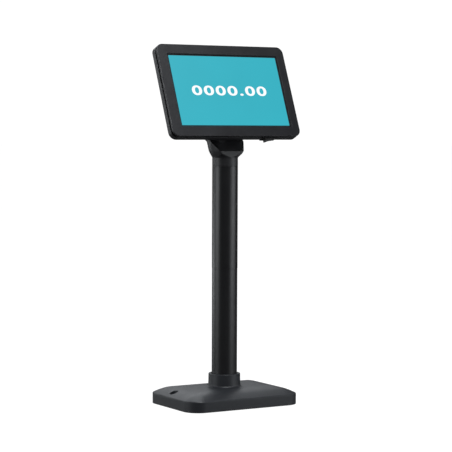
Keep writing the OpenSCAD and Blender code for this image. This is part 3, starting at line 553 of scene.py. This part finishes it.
def make_readout():
    """A generic number on the screen, a hair in front of the film."""
    width = 106 * MM
    proud = 0.04 * MM
    text = bpy.data.curves.new("readout", "FONT")
    text.body = "0000.00"
    text.size = 17.2 * MM
    text.space_character = 1.16
    text.offset = 0.42 * MM
    text.align_x = "CENTER"
    text.align_y = "CENTER"
    text.extrude = 0.02 * MM
    piece = make_object("readout", text)
    evaluated = piece.evaluated_get(bpy.context.evaluated_depsgraph_get())
    mesh = bpy.data.meshes.new_from_object(evaluated)
    bpy.data.objects.remove(piece)
    low = Vector([min(v.co[i] for v in mesh.vertices) for i in range(3)])
    high = Vector([max(v.co[i] for v in mesh.vertices) for i in range(3)])
    middle = (low + high) / 2
    turn = (ON_HEAD @ Matrix.Translation((SCREEN_X, FACE_T - proud, 0))
            @ Matrix.Rotation(math.pi / 2, 4, "X"))
    widen = Matrix.Diagonal((width / (high.x - low.x), 1, 1, 1))
    mesh.transform(turn @ widen @ Matrix.Translation(-middle))
    mesh.materials.clear()
    place(make_object("readout", mesh), "head", None, DIGIT_WHITE)


make_readout()


# ---------------------------------------------------------------- the rocker switch

place(bevelled(cad_copy("switch_housing", "switch_frame"), 0.2 * MM), "head", "switch_housing",
      SWITCH_BLACK)
place(bevelled(cad_copy("power_rocker", "rocker_cap"), 0.25 * MM), "rocker", "power_rocker",
      ROCKER_BLACK_PAINTED_SHEEN)


# ---------------------------------------------------------------- the neck

TUBE_WALL = 2 * MM


def make_neck():
    """The moulded neck: the CAD shape with its edges and facets eased, and a crisp round foot."""
    voxel = 0.4 * MM
    piece = cad_copy("neck_shell", "neck_moulding")
    step = piece.modifiers.new("remesh", "REMESH")
    step.mode = "VOXEL"
    step.voxel_size = voxel
    ease = piece.modifiers.new("ease", "SMOOTH")
    ease.factor = 0.5
    ease.iterations = 5
    thin = piece.modifiers.new("thin", "DECIMATE")
    thin.ratio = 0.25
    apply_modifiers(piece)
    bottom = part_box("neck_shell")[0].z
    top = bottom + 8 * MM
    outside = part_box("upper_tube")[1].x + 0.01 * MM
    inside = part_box("upper_tube")[1].x - TUBE_WALL
    ring = [(inside, bottom), (outside, bottom), (outside, top), (inside, top)]
    skirt = lathe("neck_skirt", ring)
    piece.data = joined("neck_moulding", [piece.data, skirt])
    smooth_shading(piece.data, 50)
    place(piece, "neck", "neck_shell", NECK_BLACK)


make_neck()
place(bevelled(cad_copy("neck_front_cover", "neck_front"), 0.3 * MM), "neck", "neck_front_cover",
      NECK_COVER_PAINTED_FILL)
place(bevelled(cad_copy("hinge_caps", "hinge_buttons"), 0.4 * MM), "neck", "hinge_caps",
      NECK_BLACK)


# ---------------------------------------------------------------- the pole

def make_tube(node, name):
    """A tube of the pole, its ends eased. The section starts and ends half-way up the bore."""
    low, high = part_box(node)
    r = high.x
    bore = r - TUBE_WALL
    ease = 0.2 * MM
    bore_ease = 0.1 * MM
    middle = (low.z + high.z) / 2
    corners = [(bore, middle, 0), (bore, low.z, bore_ease), (r, low.z, ease), (r, high.z, ease),
               (bore, high.z, bore_ease), (bore, middle + MM, 0)]
    mesh = lathe(name, softened(corners, 3))
    smooth_shading(mesh)
    place(make_object(name, mesh), "stand", node, POLE_BLACK)


make_tube("upper_tube", "pole_upper")
make_tube("lower_tube", "pole_lower")


# ---------------------------------------------------------------- the base

COVER_LOW, COVER_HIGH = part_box("base_cover")
BASE_W = COVER_HIGH.x - COVER_LOW.x
BASE_D = COVER_HIGH.y - COVER_LOW.y
BASE_R = 20 * MM                                       # corner radius of the base's outline
CROWN_Z = COVER_HIGH.z
COLLAR_R = 19.9 * MM
COLLAR_BORE = 17.9 * MM
WELL_R = 5.25 * MM                                     # a counter-screw's recess
COUNTER_SCREWS = next(m for m in frame["record"]["mounts"] if m["name"] == "counter_screws")
WELL_X = COUNTER_SCREWS["dims"]["spacing_x_mm"] / 2 * MM
WELL_Y = COUNTER_SCREWS["pos_m"][1]


def base_ring(inset, z):
    """A ring round the base, whose corners stay round far in, so that the crown has no ridges."""
    r = max(BASE_R - inset, 0) + min(inset, BASE_R) * 0.25
    ring = rounded_ring(BASE_W - 2 * inset, BASE_D - 2 * inset, r, 14)
    return [Vector((x, y, z)) for x, y in ring]


def curve_through(points, steps):
    """A smooth curve through points, by Catmull-Rom."""
    ends = [points[0] * 2 - points[1]] + points + [points[-1] * 2 - points[-2]]
    out = []
    for p0, p1, p2, p3 in zip(ends, ends[1:], ends[2:], ends[3:]):
        for i in range(steps):
            t = i / steps
            out.append(0.5 * (2 * p1 + (p2 - p0) * t + (2 * p0 - 5 * p1 + 4 * p2 - p3) * t * t
                              + (3 * p1 - p0 - 3 * p2 + p3) * t ** 3))
    return out + [points[-1]]


def make_base():
    """The crowned shell, its wells and its cable outlet."""
    shell = 2.4 * MM
    wall_top = 14 * MM
    low = COVER_LOW.z
    crown = curve_through([Vector((6 * MM, 16.9 * MM)), Vector((13 * MM, 19.6 * MM)),
                           Vector((20 * MM, 21.2 * MM)), Vector((27 * MM, 22.1 * MM)),
                           Vector((36 * MM, CROWN_Z - 0.05 * MM))], 5)
    edge = softened([(shell, low, 0), (0, low, 0.3 * MM), (0, wall_top, 1.5 * MM),
                     (*crown[0], 0)], 6)
    rings = [base_ring(shell + 36 * MM, CROWN_Z - 2.7 * MM),
             base_ring(shell + 8 * MM, 14.5 * MM), base_ring(shell, 10 * MM)]
    rings += [base_ring(inset, z) for inset, z in edge[:-1]]
    rings += [base_ring(inset, z) for inset, z in crown]
    piece = make_object("base_shell", loft("base_shell", rings))

    up = (0, 0, 1)
    cutters = [rod_mesh((0, 0, CROWN_Z), up, COLLAR_BORE + 1.5 * MM, 12 * MM, 64)]
    for x in (-WELL_X, WELL_X):
        cutters.append(rod_mesh((x, WELL_Y, CROWN_Z), up, WELL_R, 24 * MM, 48))
    outlet_low, outlet_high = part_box("cable_grommet")
    outlet_half = 6.5 * MM
    outlet_sill, outlet_top = 3.8 * MM, 10.8 * MM
    cutters.append(box_mesh((-outlet_half, outlet_low.y, outlet_sill),
                            (outlet_half, outlet_high.y + 3 * MM, outlet_top)))
    combine(piece, joined("cutters", cutters))
    smooth_shading(piece.data, 24)

    meshes = [piece.data]
    hole_r, cup_r = 2.6 * MM, 7 * MM
    seat, foot = 5.6 * MM, 3.35 * MM
    well = [(WELL_R, seat), (hole_r, seat), (hole_r, foot), (cup_r, foot), (cup_r, 14 * MM),
            (WELL_R, 15 * MM)]
    for x in (-WELL_X, WELL_X):
        cup = lathe("well", well, (x, WELL_Y, 0), 48)
        smooth_shading(cup)
        meshes.append(cup)
    whole = make_object("base_housing", joined("base_housing", meshes))
    bpy.data.objects.remove(piece)
    place(whole, "stand", "base_cover", BASE_BLACK)


make_base()


def make_collar():
    """The sleeve round the foot of the pole, with a flare below and a lip above."""
    low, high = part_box("pole_collar")
    draft = 0.25 * MM
    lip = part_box("lower_tube")[1].x + 0.8 * MM
    lip_under = high.z - 3.5 * MM
    outline = [(COLLAR_BORE, low.z, 0), (high.x, low.z, 0), (high.x, low.z + 0.1 * MM, 0),
               (COLLAR_R, low.z + 0.35 * MM, 1.9 * MM), (COLLAR_R - draft, high.z, 0.7 * MM),
               (lip, high.z, 0.5 * MM), (lip, lip_under, 0), (COLLAR_BORE, lip_under, 0)]
    mesh = lathe("collar_sleeve", softened(outline, 5))
    smooth_shading(mesh, 24)
    place(make_object("collar_sleeve", mesh), "stand", "pole_collar", BASE_BLACK)


make_collar()


# ---------------------------------------------------------------- camera, floor and light

def make_camera():
    """The camera where the photograph's was: in front, to the left, and a little below the head."""
    azimuth = math.radians(30.8)
    distance = 2.170
    height = 0.3424
    pitch = math.radians(3.21)
    roll = math.radians(0.21)
    data = bpy.data.cameras.new("camera")
    data.lens = 140.3
    data.sensor_width = 36
    data.shift_x = 0.0026
    camera = make_object("camera", data)
    camera.matrix_world = (
        Matrix.Translation((-distance * math.sin(azimuth), -distance * math.cos(azimuth), height))
        @ Matrix.Rotation(-azimuth, 4, "Z") @ Matrix.Rotation(math.pi / 2 - pitch, 4, "X")
        @ Matrix.Rotation(roll, 4, "Z"))
    bpy.context.scene.camera = camera


def make_floor():
    """A pale floor. Seen directly it is lifted to white, as the seamless backdrop is."""
    reach = 30.0
    tone = 0.13
    corners = [(-reach, -reach, 0), (reach, -reach, 0), (reach, reach, 0), (-reach, reach, 0)]
    mesh = mesh_from("floor", corners, [(0, 1, 2, 3)])
    floor = make_object("floor", mesh)
    material, nodes, links, shader = new_material("floor_white")
    shader.inputs["Base Color"].default_value = (tone, tone, tone, 1)
    shader.inputs["Roughness"].default_value = 0.9
    shader.inputs["Specular IOR Level"].default_value = 0.0
    shader.inputs["Emission Color"].default_value = (1, 1, 1, 1)
    path = nodes.new("ShaderNodeLightPath")
    lift = nodes.new("ShaderNodeMath")
    lift.operation = "MULTIPLY"
    lift.inputs[1].default_value = 0.99
    links.new(path.outputs["Is Camera Ray"], lift.inputs[0])
    links.new(lift.outputs["Value"], shader.inputs["Emission Strength"])
    mesh.materials.append(material)


def make_world():
    """A white backdrop, which lights the object only weakly."""
    seen_strength = 1.05
    fill_strength = 0.12
    world = bpy.data.worlds.new("studio")
    bpy.context.scene.world = world
    world.use_nodes = True
    nodes = world.node_tree.nodes
    links = world.node_tree.links
    seen = nodes.new("ShaderNodeBackground")
    seen.inputs["Color"].default_value = (1, 1, 1, 1)
    seen.inputs["Strength"].default_value = seen_strength
    fill = nodes["Background"]
    fill.inputs["Color"].default_value = (1, 1, 1, 1)
    fill.inputs["Strength"].default_value = fill_strength
    path = nodes.new("ShaderNodeLightPath")
    mix = nodes.new("ShaderNodeMixShader")
    links.new(path.outputs["Is Camera Ray"], mix.inputs["Fac"])
    links.new(fill.outputs["Background"], mix.inputs[1])
    links.new(seen.outputs["Background"], mix.inputs[2])
    links.new(mix.outputs["Shader"], nodes["World Output"].inputs["Surface"])


LAMP_COLOUR = (0.93, 0.965, 1.0)


def soft_box(name, place_at, aim, width, height, power):
    """A rectangular lamp that faces a point."""
    data = bpy.data.lights.new(name, "AREA")
    data.shape = "RECTANGLE"
    data.size = width
    data.size_y = height
    data.energy = power
    data.color = LAMP_COLOUR
    light = make_object(name, data)
    light.location = place_at
    light.rotation_euler = (Vector(aim) - Vector(place_at)).to_track_quat("-Z", "Y").to_euler()


make_camera()
make_floor()
make_world()
# After its name, each line gives place, aim, width, height and watts.
soft_box("left_strip", (-1.27, 0.29, 0.3), (0, 0, 0.25), 0.8, 0.6, 4.8)
soft_box("right_strip", (1.05, -0.82, 0.26), (0, 0, 0.22), 0.9, 0.46, 3.4)
soft_box("back_left", (-0.6, 1.0, 0.08), (0, 0, 0), 0.6, 0.16, 1.2)
soft_box("back_left_high", (-0.6, 1.0, 0.47), (0, 0, 0.4), 0.6, 0.2, 0.9)
soft_box("front_right", (0.62, -1.0, 0.08), (0, 0, 0), 0.6, 0.16, 1.0)
soft_box("key", (-0.1, -0.7, 1.4), (0, 0, 0.35), 0.5, 0.5, 19)
soft_box("top", (0.45, 0.75, 1.4), (0, 0, 0), 0.6, 0.6, 4)
soft_box("back", (0.6, 1.85, 1.25), (0, 0, 0.03), 1.4, 0.7, 7)
bpy.context.scene.view_settings.view_transform = "Standard"
